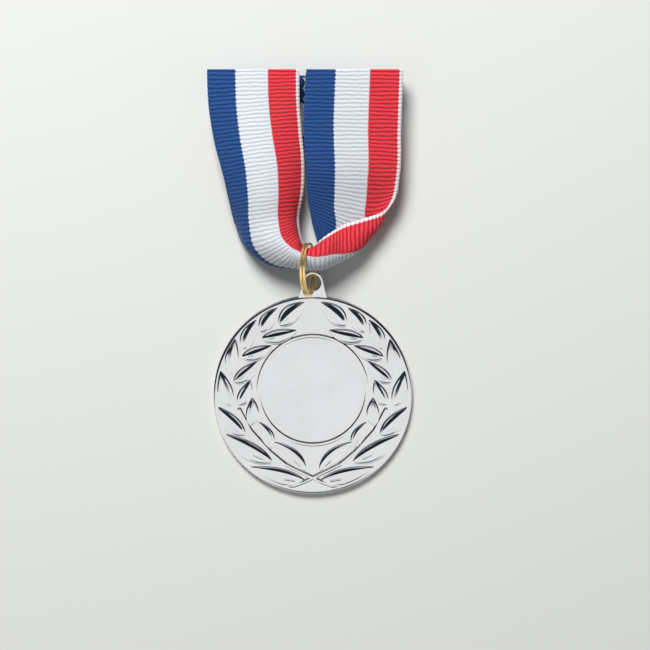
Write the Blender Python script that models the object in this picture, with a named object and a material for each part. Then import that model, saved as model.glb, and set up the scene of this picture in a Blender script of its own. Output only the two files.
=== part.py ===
"""An award medal on a neck ribbon, lying on its back.

Metres, +Z up. The medal lies with its back face on z = 0, and the origin is the
centre of that face. +X is to the right and +Y runs up the medal to its lug.
A split ring stands through the lug, and the ribbon runs through the split ring.
"""

import math

import bmesh
import bpy
import numpy as np
from mathutils import Vector

MM = 0.001

# The struck medal: a disc, with a lug at its top.
DISC_RADIUS = 25.0 * MM
FIELD_HEIGHT = 2.0 * MM
EDGE_HEIGHT = 1.5 * MM
BACK_CHAMFER = 0.3 * MM
FIELD_RADIUS = 24.2 * MM
DISC_SIDES = 96

# The raised bead round the blank centre, a little above the middle of the disc.
BEAD_CENTRE_Y = 1.1 * MM
BEAD_RADIUS = 13.65 * MM
BEAD_HALF_WIDTH = 0.55 * MM
BEAD_RISE = 0.5 * MM
BEAD_SIDE_RISE = 0.05 * MM
BEAD_SIDES = 72
BEAD_PROFILE_STEPS = 5

# The lug, one piece with the disc.
LUG_HOLE_Y = 28.2 * MM
LUG_HOLE_RADIUS = 2.0 * MM
LUG_ARCH_RADIUS = 2.75 * MM
LUG_FOOT_HALF_WIDTH = 3.9 * MM
LUG_FOOT_Y = 23.8 * MM
LUG_BOTTOM = 1.25 * MM
LUG_THICKNESS = 0.65 * MM
LUG_ARC_STEPS = 16
LUG_HOLE_SIDES = 32
HOLE_CUT_Z = (-1.0 * MM, 5.0 * MM)

# The laurel leaves of the left branch: angle from the foot of the disc in degrees and
# distance from its centre in millimetres, at the leaf's base and then at its tip, and its
# width in millimetres.
OUTER_LEAVES = (
    (5, 21.9, 41, 24.2, 4.0),
    (31, 19.8, 66, 24.4, 4.2),
    (59, 19.8, 83, 24.4, 4.0),
    (82, 20.6, 105, 24.4, 3.9),
    (104, 21.0, 126, 24.1, 3.5),
    (123, 20.9, 143, 23.5, 3.4),
    (140, 20.5, 158, 23.5, 3.4),
    (154, 19.3, 175, 23.3, 4.1),
)
INNER_LEAVES = (
    (5, 19.1, 39, 15.4, 3.6),
    (37, 16.9, 63, 15.2, 3.2),
    (64, 17.5, 87, 15.2, 3.2),
    (82, 18.9, 103, 16.0, 3.3),
    (99, 20.1, 121, 16.2, 3.3),
    (118, 20.1, 140, 16.0, 3.3),
    (138, 19.0, 166, 16.6, 3.3),
)
LEAF_RIM_RISE = 0.2 * MM
LEAF_RIDGE_RISE = 0.6 * MM
LEAF_ROOT_DEPTH = 0.5 * MM
LEAF_STEPS = 6
LEAF_FULLNESS = 0.85

# The split ring: round wire, two turns side by side, with one step between them.
RING_CENTRE = Vector((-1.1 * MM, 31.4 * MM, 7.0 * MM))
RING_LEAN = math.radians(13.0)
WIRE_RADIUS = 0.34 * MM
RING_WIRE_LINE = 6.38 * MM
TURN_PITCH = 0.76 * MM
STEP_PLACE = math.radians(-40.0)
STEP_HALF_ANGLE = 0.45
WIRE_END_ANGLE = 0.52
RING_STEPS = 88
WIRE_SIDES = 8
RING_PIVOT_Z = 1.75 * MM

# The ribbon: a woven strip, blue edge first, and where it turns under at its top.
RIBBON_WIDTH = 23.4 * MM
RIBBON_THICKNESS = 0.4 * MM
RIBBON_COLUMNS = 13
SECTION_SAMPLES = 61
RIBBON_ROW_LENGTH = 2.2 * MM
TOP_Y = 80.8 * MM
LIMB_HEIGHT = 7.2 * MM
TURN_RADIUS = 0.45 * MM
LIP_LENGTH = 3.0 * MM
TURN_STEPS = 6
PIECE_GAP = 0.3 * MM

# The ribbon's stored length: a flat zigzag under each limb, and one strip under both.
FOLD_GAP = 0.05 * MM
FOLD_LAYERS = 11
LEFT_FOLDS_X = (-22.2 * MM, -4.2 * MM)
RIGHT_FOLDS_X = (-1.2 * MM, 21.4 * MM)
FOLDS_Y = (TOP_Y - RIBBON_WIDTH, TOP_Y)

# The zigzag of sewing thread that closes the ribbon's loop.
THREAD_RADIUS = 0.12 * MM
THREAD_X = (-2.3 * MM, -1.6 * MM)
THREAD_STITCHES = 16
THREAD_END_INSET = 1.0 * MM


# ---------------------------------------------------------------- small helpers


def clear_scene():
    """Remove the objects that are already in the file."""
    for old in list(bpy.data.objects):
        bpy.data.objects.remove(old, do_unlink=True)


def material(name, colour, roughness, metallic):
    """A Principled material."""
    made = bpy.data.materials.new(name)
    made.use_nodes = True
    shader = made.node_tree.nodes["Principled BSDF"]
    shader.inputs["Base Color"].default_value = (*colour, 1.0)
    shader.inputs["Roughness"].default_value = roughness
    shader.inputs["Metallic"].default_value = metallic
    return made


def object_from(name, mesh, parent=None):
    """Link a mesh or curve into the scene, under a parent if there is one."""
    made = bpy.data.objects.new(name, mesh)
    bpy.context.scene.collection.objects.link(made)
    if parent:
        made.parent = parent
        made.location = -parent.location
    return made


def mesh_from(name, points, faces):
    """A mesh with its faces pointing outwards."""
    mesh = bpy.data.meshes.new(name)
    mesh.from_pydata([tuple(float(value) for value in point) for point in points], [], faces)
    work = bmesh.new()
    work.from_mesh(mesh)
    bmesh.ops.recalc_face_normals(work, faces=work.faces)
    work.to_mesh(mesh)
    work.free()
    return mesh


def shade_round(mesh, degrees=40.0):
    """Smooth shading, with the sharp corners kept."""
    mesh.shade_smooth()
    mesh.set_sharp_from_angle(angle=math.radians(degrees))


def prism(name, outline, bottom, top):
    """A flat plate: a closed outline in X and Y, between two heights."""
    count = len(outline)
    points = [(x, y, bottom) for x, y in outline] + [(x, y, top) for x, y in outline]
    faces = [tuple(range(count)), tuple(range(count, 2 * count))]
    for index in range(count):
        after = (index + 1) % count
        faces.append((index, after, count + after, count + index))
    return mesh_from(name, points, faces)


def pivot(name, place):
    """An empty on a joint's axis."""
    made = bpy.data.objects.new(name, None)
    made.empty_display_size = 0.005
    made.location = place
    bpy.context.scene.collection.objects.link(made)
    return made


# ---------------------------------------------------------------- the struck medal


def turned(name, profile, sides, centre_y=0.0, closed=False):
    """A solid turned about a vertical axis, from (radius, height) points.

    An open profile starts and ends on the axis; a closed one makes a hoop.
    """
    rings = profile if closed else profile[1:-1]
    points = []
    for radius, height in rings:
        for index in range(sides):
            angle = 2.0 * math.pi * index / sides
            points.append((radius * math.cos(angle), centre_y + radius * math.sin(angle), height))
    faces = []
    spans = len(rings) if closed else len(rings) - 1
    for row in range(spans):
        low = row * sides
        high = ((row + 1) % len(rings)) * sides
        for index in range(sides):
            after = (index + 1) % sides
            faces.append((low + index, low + after, high + after, high + index))
    if not closed:
        last = (len(rings) - 1) * sides
        faces.append(tuple(range(sides)))
        faces.append(tuple(range(last, last + sides)))
    return mesh_from(name, points, faces)


def disc_mesh():
    """The plain round disc with its sloped rim."""
    profile = (
        (0.0, 0.0),
        (DISC_RADIUS - BACK_CHAMFER, 0.0),
        (DISC_RADIUS, BACK_CHAMFER),
        (DISC_RADIUS, EDGE_HEIGHT),
        (FIELD_RADIUS, FIELD_HEIGHT),
        (0.0, FIELD_HEIGHT),
    )
    return turned("disc", profile, DISC_SIDES)


def bead_mesh():
    """The half-round bead, with its root inside the disc."""
    profile = [
        (BEAD_RADIUS + BEAD_HALF_WIDTH, FIELD_HEIGHT - LEAF_ROOT_DEPTH),
        (BEAD_RADIUS - BEAD_HALF_WIDTH, FIELD_HEIGHT - LEAF_ROOT_DEPTH),
    ]
    for step in range(BEAD_PROFILE_STEPS + 1):
        angle = math.pi * (1.0 - step / BEAD_PROFILE_STEPS)
        radius = BEAD_RADIUS + BEAD_HALF_WIDTH * math.cos(angle)
        rise = BEAD_SIDE_RISE + (BEAD_RISE - BEAD_SIDE_RISE) * math.sin(angle)
        profile.append((radius, FIELD_HEIGHT + rise))
    return turned("bead", profile, BEAD_SIDES, BEAD_CENTRE_Y, closed=True)


def lug_outline():
    """The lug's outline: a round arch on two legs that spread to the disc."""
    outline = [(-LUG_FOOT_HALF_WIDTH, LUG_FOOT_Y)]
    for step in range(LUG_ARC_STEPS + 1):
        angle = math.pi * (1.0 - step / LUG_ARC_STEPS)
        outline.append((LUG_ARCH_RADIUS * math.cos(angle), LUG_HOLE_Y + LUG_ARCH_RADIUS * math.sin(angle)))
    outline.append((LUG_FOOT_HALF_WIDTH, LUG_FOOT_Y))
    return outline


def polar_point(degrees, millimetres, side):
    """A point on the medal's face, measured from the foot of the disc."""
    angle = math.radians(degrees)
    radius = millimetres * MM
    return Vector((side * radius * math.sin(angle), -radius * math.cos(angle)))


def leaf_parts(leaf, side, first):
    """One leaf: a root outline, a rim outline over it and a raised ridge line."""
    base = polar_point(leaf[0], leaf[1], side)
    tip = polar_point(leaf[2], leaf[3], side)
    width = leaf[4] * MM
    along = tip - base
    across = Vector((-along.y, along.x)).normalized()
    shares = [step / LEAF_STEPS for step in range(1, LEAF_STEPS)]
    reaches = [across * 0.5 * width * math.sin(math.pi * share ** LEAF_FULLNESS) for share in shares]
    crests = [base + along * share for share in shares]
    near_edge = [crest + reach for crest, reach in zip(crests, reaches)]
    far_edge = [crest - reach for crest, reach in zip(crests, reaches)]
    outline = [base] + near_edge + [tip] + far_edge[::-1]
    count = len(outline)
    points = [(p.x, p.y, FIELD_HEIGHT - LEAF_ROOT_DEPTH) for p in outline]
    points += [(p.x, p.y, FIELD_HEIGHT + LEAF_RIM_RISE) for p in outline]
    points += [(p.x, p.y, FIELD_HEIGHT + LEAF_RIDGE_RISE) for p in crests]
    faces = [tuple(first + index for index in range(count))]
    for index in range(count):
        after = (index + 1) % count
        faces.append((first + index, first + after, first + count + after, first + count + index))
    ridge = first + 2 * count - 1
    rim = first + count
    for sign in (1, -1):
        for step in range(LEAF_STEPS):
            corners = [rim + (sign * step) % count, rim + (sign * (step + 1)) % count]
            if step + 1 < LEAF_STEPS:
                corners.append(ridge + step + 1)
            if step > 0:
                corners.append(ridge + step)
            faces.append(tuple(corners))
    return points, faces


def leaves_mesh():
    """All the leaves of both branches as one set of raised shapes."""
    points, faces = [], []
    for side in (-1.0, 1.0):
        for leaf in OUTER_LEAVES + INNER_LEAVES:
            more_points, more_faces = leaf_parts(leaf, side, len(points))
            points += more_points
            faces += more_faces
    return mesh_from("leaves", points, faces)


def cutter(name, mesh, target, operation):
    """Join a shape to the target or cut it out of it, and keep the shape as a hidden guide."""
    tool = object_from(name, mesh)
    tool.hide_render = True
    tool.display_type = "WIRE"
    change = target.modifiers.new(name, "BOOLEAN")
    change.operation = operation
    change.solver = "EXACT"
    change.use_self = True
    change.object = tool


def make_medal_disc():
    """The struck medal: disc, bead, leaves and lug in one piece of metal."""
    medal = object_from("medal_disc", disc_mesh())
    medal.data.materials.append(material("bright_nickel", (0.62, 0.62, 0.63), 0.16, 1.0))
    lug_top = LUG_BOTTOM + LUG_THICKNESS
    cutter("lug_shape", prism("lug", lug_outline(), LUG_BOTTOM, lug_top), medal, "UNION")
    cutter("bead_shape", bead_mesh(), medal, "UNION")
    cutter("leaf_shapes", leaves_mesh(), medal, "UNION")
    hole = []
    for index in range(LUG_HOLE_SIDES):
        angle = 2.0 * math.pi * (index + 0.5) / LUG_HOLE_SIDES
        x = LUG_HOLE_RADIUS * math.cos(angle)
        hole.append((x, LUG_HOLE_Y + LUG_HOLE_RADIUS * math.sin(angle)))
    cutter("lug_hole", prism("hole", hole, *HOLE_CUT_Z), medal, "DIFFERENCE")


# ---------------------------------------------------------------- the split ring


def smooth_step(share):
    """A smooth ramp from 0 to 1."""
    share = min(1.0, max(0.0, share))
    return share * share * (3.0 - 2.0 * share)


def ring_axes():
    """The ring's in-plane directions and its axis."""
    upward = Vector((-math.sin(RING_LEAN), 0.0, math.cos(RING_LEAN)))
    axis = Vector((math.cos(RING_LEAN), 0.0, math.sin(RING_LEAN)))
    return Vector((0.0, 1.0, 0.0)), upward, axis


def make_split_ring(parent):
    """Two turns of round wire with a step from one turn to the next."""
    forward, upward, axis = ring_axes()
    begin = WIRE_END_ANGLE
    end = 4.0 * math.pi - WIRE_END_ANGLE
    points, faces = [], []
    for step in range(RING_STEPS + 1):
        turn = begin + (end - begin) * step / RING_STEPS
        past_step = (turn - 2.0 * math.pi + STEP_HALF_ANGLE) / (2.0 * STEP_HALF_ANGLE)
        shift = TURN_PITCH * (smooth_step(past_step) - 0.5)
        angle = STEP_PLACE + turn
        outward = forward * math.cos(angle) + upward * math.sin(angle)
        middle = RING_CENTRE + outward * RING_WIRE_LINE + axis * shift
        for side in range(WIRE_SIDES):
            around = 2.0 * math.pi * (side + 0.5) / WIRE_SIDES
            offset = outward * math.cos(around) + axis * math.sin(around)
            points.append(middle + offset * WIRE_RADIUS)
    for step in range(RING_STEPS):
        for side in range(WIRE_SIDES):
            after = (side + 1) % WIRE_SIDES
            low = step * WIRE_SIDES
            high = low + WIRE_SIDES
            faces.append((low + side, low + after, high + after, high + side))
    faces.append(tuple(range(WIRE_SIDES)))
    faces.append(tuple(range(RING_STEPS * WIRE_SIDES, (RING_STEPS + 1) * WIRE_SIDES)))
    mesh = mesh_from("split_ring", points, faces)
    shade_round(mesh)
    ring = object_from("split_ring", mesh, parent)
    ring.data.materials.append(material("gilt_steel", (0.83, 0.62, 0.27), 0.2, 1.0))


# ---------------------------------------------------------------- the ribbon's surface


def arched(blue_edge, red_edge, arch):
    """Seven points across the ribbon in millimetres, from its blue edge to its red edge."""
    shares = np.linspace(0.0, 1.0, 7)[:, None]
    line = np.array(blue_edge) * (1.0 - shares) + np.array(red_edge) * shares
    line[:, 2] += arch * 4.0 * shares[:, 0] * (1.0 - shares[:, 0])
    return line


def ribbon_stations():
    """Sections across the ribbon from the left limb's top, through the ring, to the right's.

    The left limb arches up and gathers as it comes down to the ring. In the ring the
    ribbon is rolled into a C. To the right of the ring its red edge lies in front, and the
    ribbon rolls over its lower side and back up behind, into the right limb.
    """
    return np.array((
        arched((-26.3, 80.8, 7.2), (-3.5, 80.8, 7.2), 0.0),
        arched((-25.8, 72.0, 7.1), (-3.5, 73.4, 7.1), 1.3),
        arched((-24.4, 63.4, 6.8), (-3.0, 65.5, 6.9), 2.9),
        arched((-22.1, 54.6, 6.3), (-2.4, 57.4, 6.8), 4.4),
        arched((-20.7, 48.3, 4.9), (-2.7, 50.6, 6.4), 5.4),
        ((-19.2, 42.6, 2.8), (-17.6, 42.6, 6.2), (-14.8, 42.8, 8.9), (-11.4, 43.2, 10.2),
         (-8.0, 43.8, 9.9), (-5.2, 44.4, 8.0), (-3.9, 44.8, 5.2)),
        ((-16.6, 37.0, 1.6), (-16.0, 36.6, 5.4), (-13.6, 36.8, 8.6), (-10.7, 37.8, 10.6),
         (-7.5, 39.2, 10.8), (-4.9, 40.8, 8.6), (-3.7, 41.7, 5.2)),
        ((-10.8, 34.9, 1.2), (-11.6, 33.0, 4.2), (-10.2, 33.3, 7.6), (-7.6, 34.6, 10.2),
         (-5.0, 36.6, 11.3), (-3.6, 38.4, 8.5), (-3.2, 39.0, 4.9)),
        ((-0.3, 34.6, 3.4), (-0.5, 32.2, 2.8), (-0.9, 31.4, 5.8), (-1.5, 31.8, 9.2),
         (-2.0, 34.6, 11.2), (-1.4, 36.3, 8.2), (-0.7, 36.2, 5.0)),
        ((2.2, 35.3, 1.9), (2.4, 33.0, 2.4), (2.8, 31.7, 5.4), (2.9, 31.9, 9.0),
         (3.0, 34.5, 10.7), (3.3, 37.4, 9.9), (3.4, 39.3, 7.0)),
        ((0.6, 40.6, 2.2), (2.6, 37.6, 2.0), (4.6, 35.0, 2.4), (6.9, 33.4, 5.0),
         (7.8, 34.9, 8.0), (7.9, 38.6, 7.6), (8.0, 42.3, 5.8)),
        ((0.0, 42.9, 2.8), (3.6, 40.4, 2.4), (7.2, 38.2, 2.0), (10.8, 36.6, 2.9),
         (12.4, 37.0, 5.6), (12.8, 40.2, 6.8), (12.9, 43.9, 5.6)),
        ((-0.6, 46.2, 3.6), (3.4, 44.4, 3.3), (7.3, 42.8, 2.9), (11.2, 41.5, 2.6),
         (15.0, 41.2, 3.0), (17.0, 42.6, 5.2), (17.4, 45.5, 6.2)),
        ((-1.2, 49.9, 4.8), (2.3, 49.0, 4.6), (5.9, 48.3, 4.4), (9.6, 47.6, 4.2),
         (13.2, 47.0, 4.1), (17.0, 47.2, 4.6), (20.1, 48.4, 5.9)),
        arched((-1.5, 55.8, 6.5), (21.6, 55.2, 6.6), 0.0),
        arched((-2.1, 66.5, 7.1), (21.9, 66.2, 7.1), 0.2),
        arched((-1.6, 80.8, 7.2), (22.4, 80.8, 7.2), 0.0),
    )) * MM


def through(knots, values, places):
    """A smooth curve through values given at knots, read at some places."""
    slopes = np.diff(values, axis=0) / np.diff(knots).reshape(-1, *([1] * (values.ndim - 1)))
    tangents = np.empty_like(values)
    tangents[0], tangents[-1] = slopes[0], slopes[-1]
    for index in range(1, len(knots) - 1):
        before = knots[index] - knots[index - 1]
        after = knots[index + 1] - knots[index]
        tangents[index] = (after * slopes[index - 1] + before * slopes[index]) / (before + after)
    read = []
    for place in places:
        span = min(max(int(np.searchsorted(knots, place, side="right")) - 1, 0), len(knots) - 2)
        width = knots[span + 1] - knots[span]
        share = (place - knots[span]) / width
        square, cube = share ** 2, share ** 3
        read.append(
            (2 * cube - 3 * square + 1) * values[span]
            + (cube - 2 * square + share) * width * tangents[span]
            + (3 * square - 2 * cube) * values[span + 1]
            + (cube - square) * width * tangents[span + 1]
        )
    return np.array(read)


def even_section(section, columns):
    """Points at even distances along one section across the ribbon."""
    knots = np.arange(len(section), dtype=float)
    dense = through(knots, section, np.linspace(0.0, knots[-1], SECTION_SAMPLES))
    steps = np.linalg.norm(np.diff(dense, axis=0), axis=1)
    distance = np.concatenate(([0.0], np.cumsum(steps)))
    wanted = np.linspace(0.0, distance[-1], columns)
    return np.stack([np.interp(wanted, distance, dense[:, axis]) for axis in range(3)], axis=1)


def ribbon_knots(stations):
    """The mean distance along the ribbon to each station."""
    gaps = np.linalg.norm(np.diff(stations, axis=0), axis=2).mean(axis=1)
    return np.concatenate(([0.0], np.cumsum(gaps)))


def ribbon_rows(stations, knots, begin, end):
    """The ribbon's middle surface between two distances along it."""
    count = max(3, int(round((end - begin) / RIBBON_ROW_LENGTH)) + 1)
    rows = through(knots, stations, np.linspace(begin, end, count))
    return np.array([even_section(row, RIBBON_COLUMNS) for row in rows])


def lip_rows(top_row):
    """The rows of the turned-under lip, from the limb's top row inwards."""
    rows = []
    for step in range(1, TURN_STEPS + 1):
        angle = math.pi * step / TURN_STEPS
        shift = (0.0, TURN_RADIUS * math.sin(angle), TURN_RADIUS * (math.cos(angle) - 1.0))
        rows.append(top_row + np.array(shift))
    rows.append(rows[-1] - np.array((0.0, LIP_LENGTH, 0.0)))
    return rows


def strip_mesh(name, rows):
    """A closed solid of the ribbon's thickness about its middle surface."""
    rows = np.array(rows)
    lengthwise = np.gradient(rows, axis=0)
    crosswise = np.gradient(rows, axis=1)
    normals = np.cross(lengthwise, crosswise)
    normals /= np.linalg.norm(normals, axis=2, keepdims=True)
    faces_up = rows + normals * 0.5 * RIBBON_THICKNESS
    faces_down = rows - normals * 0.5 * RIBBON_THICKNESS
    count, columns = rows.shape[:2]
    points = np.concatenate((faces_up.reshape(-1, 3), faces_down.reshape(-1, 3)))
    under = count * columns
    faces = []
    for row in range(count - 1):
        for column in range(columns - 1):
            corner = row * columns + column
            quad = (corner, corner + 1, corner + columns + 1, corner + columns)
            faces.append(quad)
            faces.append(tuple(under + index for index in reversed(quad)))
    border = list(range(columns))
    border += [row * columns + columns - 1 for row in range(1, count)]
    border += [(count - 1) * columns + column for column in range(columns - 2, -1, -1)]
    border += [row * columns for row in range(count - 2, 0, -1)]
    for index, corner in enumerate(border):
        after = border[(index + 1) % len(border)]
        faces.append((after, corner, under + corner, under + after))
    mesh = mesh_from(name, points, faces)
    shade_round(mesh, 60.0)
    return mesh


# ---------------------------------------------------------------- the ribbon's solids


def make_limbs_and_bend(parent):
    """The ribbon that shows: the left limb, the bend through the ring, the right limb."""
    stations = ribbon_stations()
    knots = ribbon_knots(stations)
    bend_begin, bend_end = knots[5], knots[13]
    half_gap = 0.5 * PIECE_GAP
    left = ribbon_rows(stations, knots, 0.0, bend_begin - half_gap)
    left = list(reversed(lip_rows(left[0]))) + list(left)
    bend = ribbon_rows(stations, knots, bend_begin + half_gap, bend_end - half_gap)
    right = ribbon_rows(stations, knots, bend_end + half_gap, knots[-1])
    right = list(right) + lip_rows(right[-1])
    parts = {
        "ribbon_left_limb": ((0.02, 0.07, 0.28), left),
        "ribbon_ring_bend": ((0.72, 0.03, 0.05), bend),
        "ribbon_right_limb": ((0.78, 0.79, 0.82), right),
    }
    for name, (colour, rows) in parts.items():
        piece = object_from(name, strip_mesh(name, rows), parent)
        piece.data.materials.append(material(name + "_weave", colour, 0.75, 0.0))


def folds_outline(left, right):
    """The edge view, in X and Z, of a strip folded flat to and fro from the bottom up."""
    heights = [
        RIBBON_THICKNESS + PIECE_GAP + layer * (RIBBON_THICKNESS + FOLD_GAP)
        for layer in range(FOLD_LAYERS)
    ]
    thick = RIBBON_THICKNESS
    right_side = [(left, heights[0])]
    left_side = [(left, heights[0] + thick)]
    for layer in range(0, FOLD_LAYERS - 1, 2):
        above, next_above = heights[layer + 1], heights[layer + 2]
        right_side += [(right, heights[layer]), (right, above + thick)]
        right_side += [(left + thick, above + thick), (left + thick, next_above)]
        left_side += [(right - thick, heights[layer] + thick), (right - thick, above)]
        left_side += [(left, above), (left, next_above + thick)]
    right_side += [(right, heights[-1]), (right, heights[-1] + thick)]
    return right_side + list(reversed(left_side))


def folds_mesh(name, left, right):
    """A stack of flat folds as long as the ribbon is wide."""
    outline = folds_outline(left, right)
    count = len(outline)
    points = [(x, y, z) for y in FOLDS_Y for x, z in outline]
    faces = [tuple(range(count)), tuple(range(count, 2 * count))]
    for index in range(count):
        after = (index + 1) % count
        faces.append((index, after, count + after, count + index))
    return mesh_from(name, points, faces)


def make_stored_ribbon(parent):
    """The folds under each limb, and the strip under both that closes the loop."""
    weave = material("ribbon_folds_weave", (0.05, 0.1, 0.32), 0.75, 0.0)
    for name, (left, right) in (
        ("ribbon_left_folds", LEFT_FOLDS_X),
        ("ribbon_right_folds", RIGHT_FOLDS_X),
    ):
        folds = object_from(name, folds_mesh(name, left, right), parent)
        folds.data.materials.append(weave)
    outline = [
        (LEFT_FOLDS_X[0], FOLDS_Y[0]),
        (RIGHT_FOLDS_X[1], FOLDS_Y[0]),
        (RIGHT_FOLDS_X[1], FOLDS_Y[1]),
        (LEFT_FOLDS_X[0], FOLDS_Y[1]),
    ]
    crossing = object_from("ribbon_crossing", prism("crossing", outline, 0.0, RIBBON_THICKNESS), parent)
    crossing.data.materials.append(material("ribbon_crossing_weave", (0.7, 0.05, 0.06), 0.75, 0.0))


def make_seam_thread(parent):
    """The zigzag stitches across the seam, on the strip between the two stacks."""
    curve = bpy.data.curves.new("seam_thread", "CURVE")
    curve.dimensions = "3D"
    curve.bevel_depth = THREAD_RADIUS
    curve.bevel_resolution = 1
    curve.use_fill_caps = True
    run = curve.splines.new("POLY")
    run.points.add(THREAD_STITCHES)
    first = FOLDS_Y[0] + THREAD_END_INSET
    reach = RIBBON_WIDTH - 2.0 * THREAD_END_INSET
    height = RIBBON_THICKNESS + PIECE_GAP + THREAD_RADIUS
    for stitch in range(THREAD_STITCHES + 1):
        place = (THREAD_X[stitch % 2], first + reach * stitch / THREAD_STITCHES, height, 1.0)
        run.points[stitch].co = place
    thread = object_from("seam_thread", curve, parent)
    curve.materials.append(material("seam_thread_white", (0.8, 0.8, 0.8), 0.6, 0.0))


def main():
    """Build the whole medal."""
    clear_scene()
    make_medal_disc()
    ring_pivot = pivot("ring_pivot", (0.0, LUG_HOLE_Y, RING_PIVOT_Z))
    ribbon_pivot = pivot("ribbon_pivot", RING_CENTRE)
    make_split_ring(ring_pivot)
    make_limbs_and_bend(ribbon_pivot)
    make_stored_ribbon(ribbon_pivot)
    make_seam_thread(ribbon_pivot)


main()
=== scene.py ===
"""The looks of an award medal on a neck ribbon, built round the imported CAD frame."""

import math

import bpy
import numpy as np
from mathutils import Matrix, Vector


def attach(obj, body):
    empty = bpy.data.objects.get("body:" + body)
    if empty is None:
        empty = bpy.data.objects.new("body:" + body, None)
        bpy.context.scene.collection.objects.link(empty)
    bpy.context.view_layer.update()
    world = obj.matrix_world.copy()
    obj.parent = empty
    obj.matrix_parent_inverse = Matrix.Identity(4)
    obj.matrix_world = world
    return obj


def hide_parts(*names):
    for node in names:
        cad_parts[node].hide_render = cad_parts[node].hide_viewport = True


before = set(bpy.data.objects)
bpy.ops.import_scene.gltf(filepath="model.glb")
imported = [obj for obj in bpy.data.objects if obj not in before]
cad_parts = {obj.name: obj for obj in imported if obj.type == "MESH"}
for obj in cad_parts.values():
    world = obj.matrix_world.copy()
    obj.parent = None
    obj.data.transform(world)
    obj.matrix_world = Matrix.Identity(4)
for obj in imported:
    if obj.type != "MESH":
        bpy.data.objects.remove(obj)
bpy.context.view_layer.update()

MM = 0.001

# Lengths are in millimetres. The medal's outline, thickness and lug are as in the CAD, and
# its relief is finer.
FIELD_HEIGHT = 2.0
BEAD_CENTRE_Y = 1.1
BEAD_RADIUS = 13.65
BEAD_HALF_WIDTH = 0.5
BEAD_RISE = 0.15
BEAD_WALL = 0.24
CENTRE_SINK = 0.02
CENTRE_WALL = 0.4
LUG_HOLE_Y = 28.2
LUG_HOLE_RADIUS = 2.0
LUG_ARCH_RADIUS = 2.75
LUG_FOOT_HALF_WIDTH = 3.9
LUG_FOOT_Y = 23.8
LUG_BOTTOM = 1.25
LUG_TOP = 1.9
LUG_EDGE_WIDTH = 0.24
LUG_EDGE_HEIGHT = 0.26
LUG_EDGE_STEPS = 7
LUG_LEG_POINTS = 14
LUG_ARCH_POINTS = 42
LUG_BASE_POINTS = 16

# Laurel leaves of the left branch: angle from the foot of the disc in degrees and distance
# from its centre in millimetres, at the base and then at the tip, and the leaf's width.
OUTER_LEAVES = (
    (5, 21.9, 41, 24.2, 4.0),
    (31, 19.8, 66, 24.4, 4.2),
    (59, 19.8, 83, 24.4, 4.0),
    (82, 20.6, 105, 24.4, 3.9),
    (104, 21.0, 126, 24.1, 3.5),
    (123, 20.9, 143, 23.5, 3.4),
    (140, 20.5, 158, 23.5, 3.4),
    (154, 19.3, 175, 23.3, 4.1),
)
INNER_LEAVES = (
    (5, 19.1, 39, 15.4, 3.6),
    (37, 16.9, 63, 15.2, 3.2),
    (64, 17.5, 87, 15.2, 3.2),
    (82, 18.9, 103, 16.0, 3.3),
    (99, 20.1, 121, 16.2, 3.3),
    (118, 20.1, 140, 16.0, 3.3),
    (138, 19.0, 166, 16.6, 3.3),
)

# The leaves' relief. The bow is how far a leaf's middle line leaves the straight one. A rim's
# width and a midrib's place are shares of the leaf's half width, and they change with the
# angle of the leaf's base from the foot of the disc, up to FULL_RISE_ANGLE.
LEAF_BOW = 0.35
LEAF_WALL_RISE = 0.19
LEAF_WALL_WIDTH = 0.28
OUTER_LEAF_RIM = 0.36
INNER_LEAF_RIM = 0.46
LEAF_FACE_SLOPE = 0.33
GROOVE_DEPTH = 0.06
GROOVE_WIDTH = 0.14
LOW_LEAF_MIDRIB = 0.55
HIGH_LEAF_MIDRIB = 0.02
LOW_LEAF_RIM = 0.18
FULL_RISE_ANGLE = 115.0
FULL_HALF_WIDTH = 1.4
VEIN_DEPTH = 0.12
VEIN_WIDTH = 0.12
VEIN_PLACE = -0.22
VEIN_BEGIN = 0.16
VEIN_END = 0.36

# The stem of one branch, from its cut end past the crossing up to its last leaves.
STEM_POINTS = (
    (-6.8, -23.4), (-4.8, -22.9), (-2.0, -21.9), (-0.2, -21.0),
    (7.0, -17.5), (10.9, -14.2), (15.6, -9.0), (18.4, -3.8),
)
STEM_HALF_WIDTH = 0.45
STEM_RISE = 0.22

# The face's mesh is fine from just inside the bead to its edge, where the relief fades out.
FACE_SECTORS = 880
COARSE_FROM = 1.0
COARSE_STEP = 1.2
FINE_FROM = 11.6
FINE_STEP = 0.14
FACE_EDGE = 24.15
RELIEF_EDGE = 24.0
RELIEF_FADE = 0.25

# The disc's rim and back: radius and height, from the face's edge round to the back's middle.
RIM_AND_BACK = (
    (24.25, 1.99), (24.5, 1.91), (24.75, 1.80), (24.87, 1.70), (24.95, 1.55), (25.0, 1.3),
    (25.0, 0.35), (24.96, 0.2), (24.86, 0.08), (24.7, 0.02), (24.4, 0.0),
    (18.0, 0.0), (10.0, 0.0), (3.0, 0.0),
)

# The split ring: two turns of round wire, placed as in the CAD. The wire narrows over
# WIRE_END_STEPS steps at each end.
RING_CENTRE = np.array((-1.1, 31.4, 7.0))
RING_LEAN = math.radians(13.0)
WIRE_RADIUS = 0.35
RING_WIRE_LINE = 6.38
TURN_PITCH = 0.76
STEP_PLACE = math.radians(-40.0)
STEP_HALF_ANGLE = 0.45
WIRE_END_ANGLE = 0.52
WIRE_END_STEPS = 4.0
WIRE_TIP = 0.4
RING_STEPS = 520
WIRE_SIDES = 24

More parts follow.
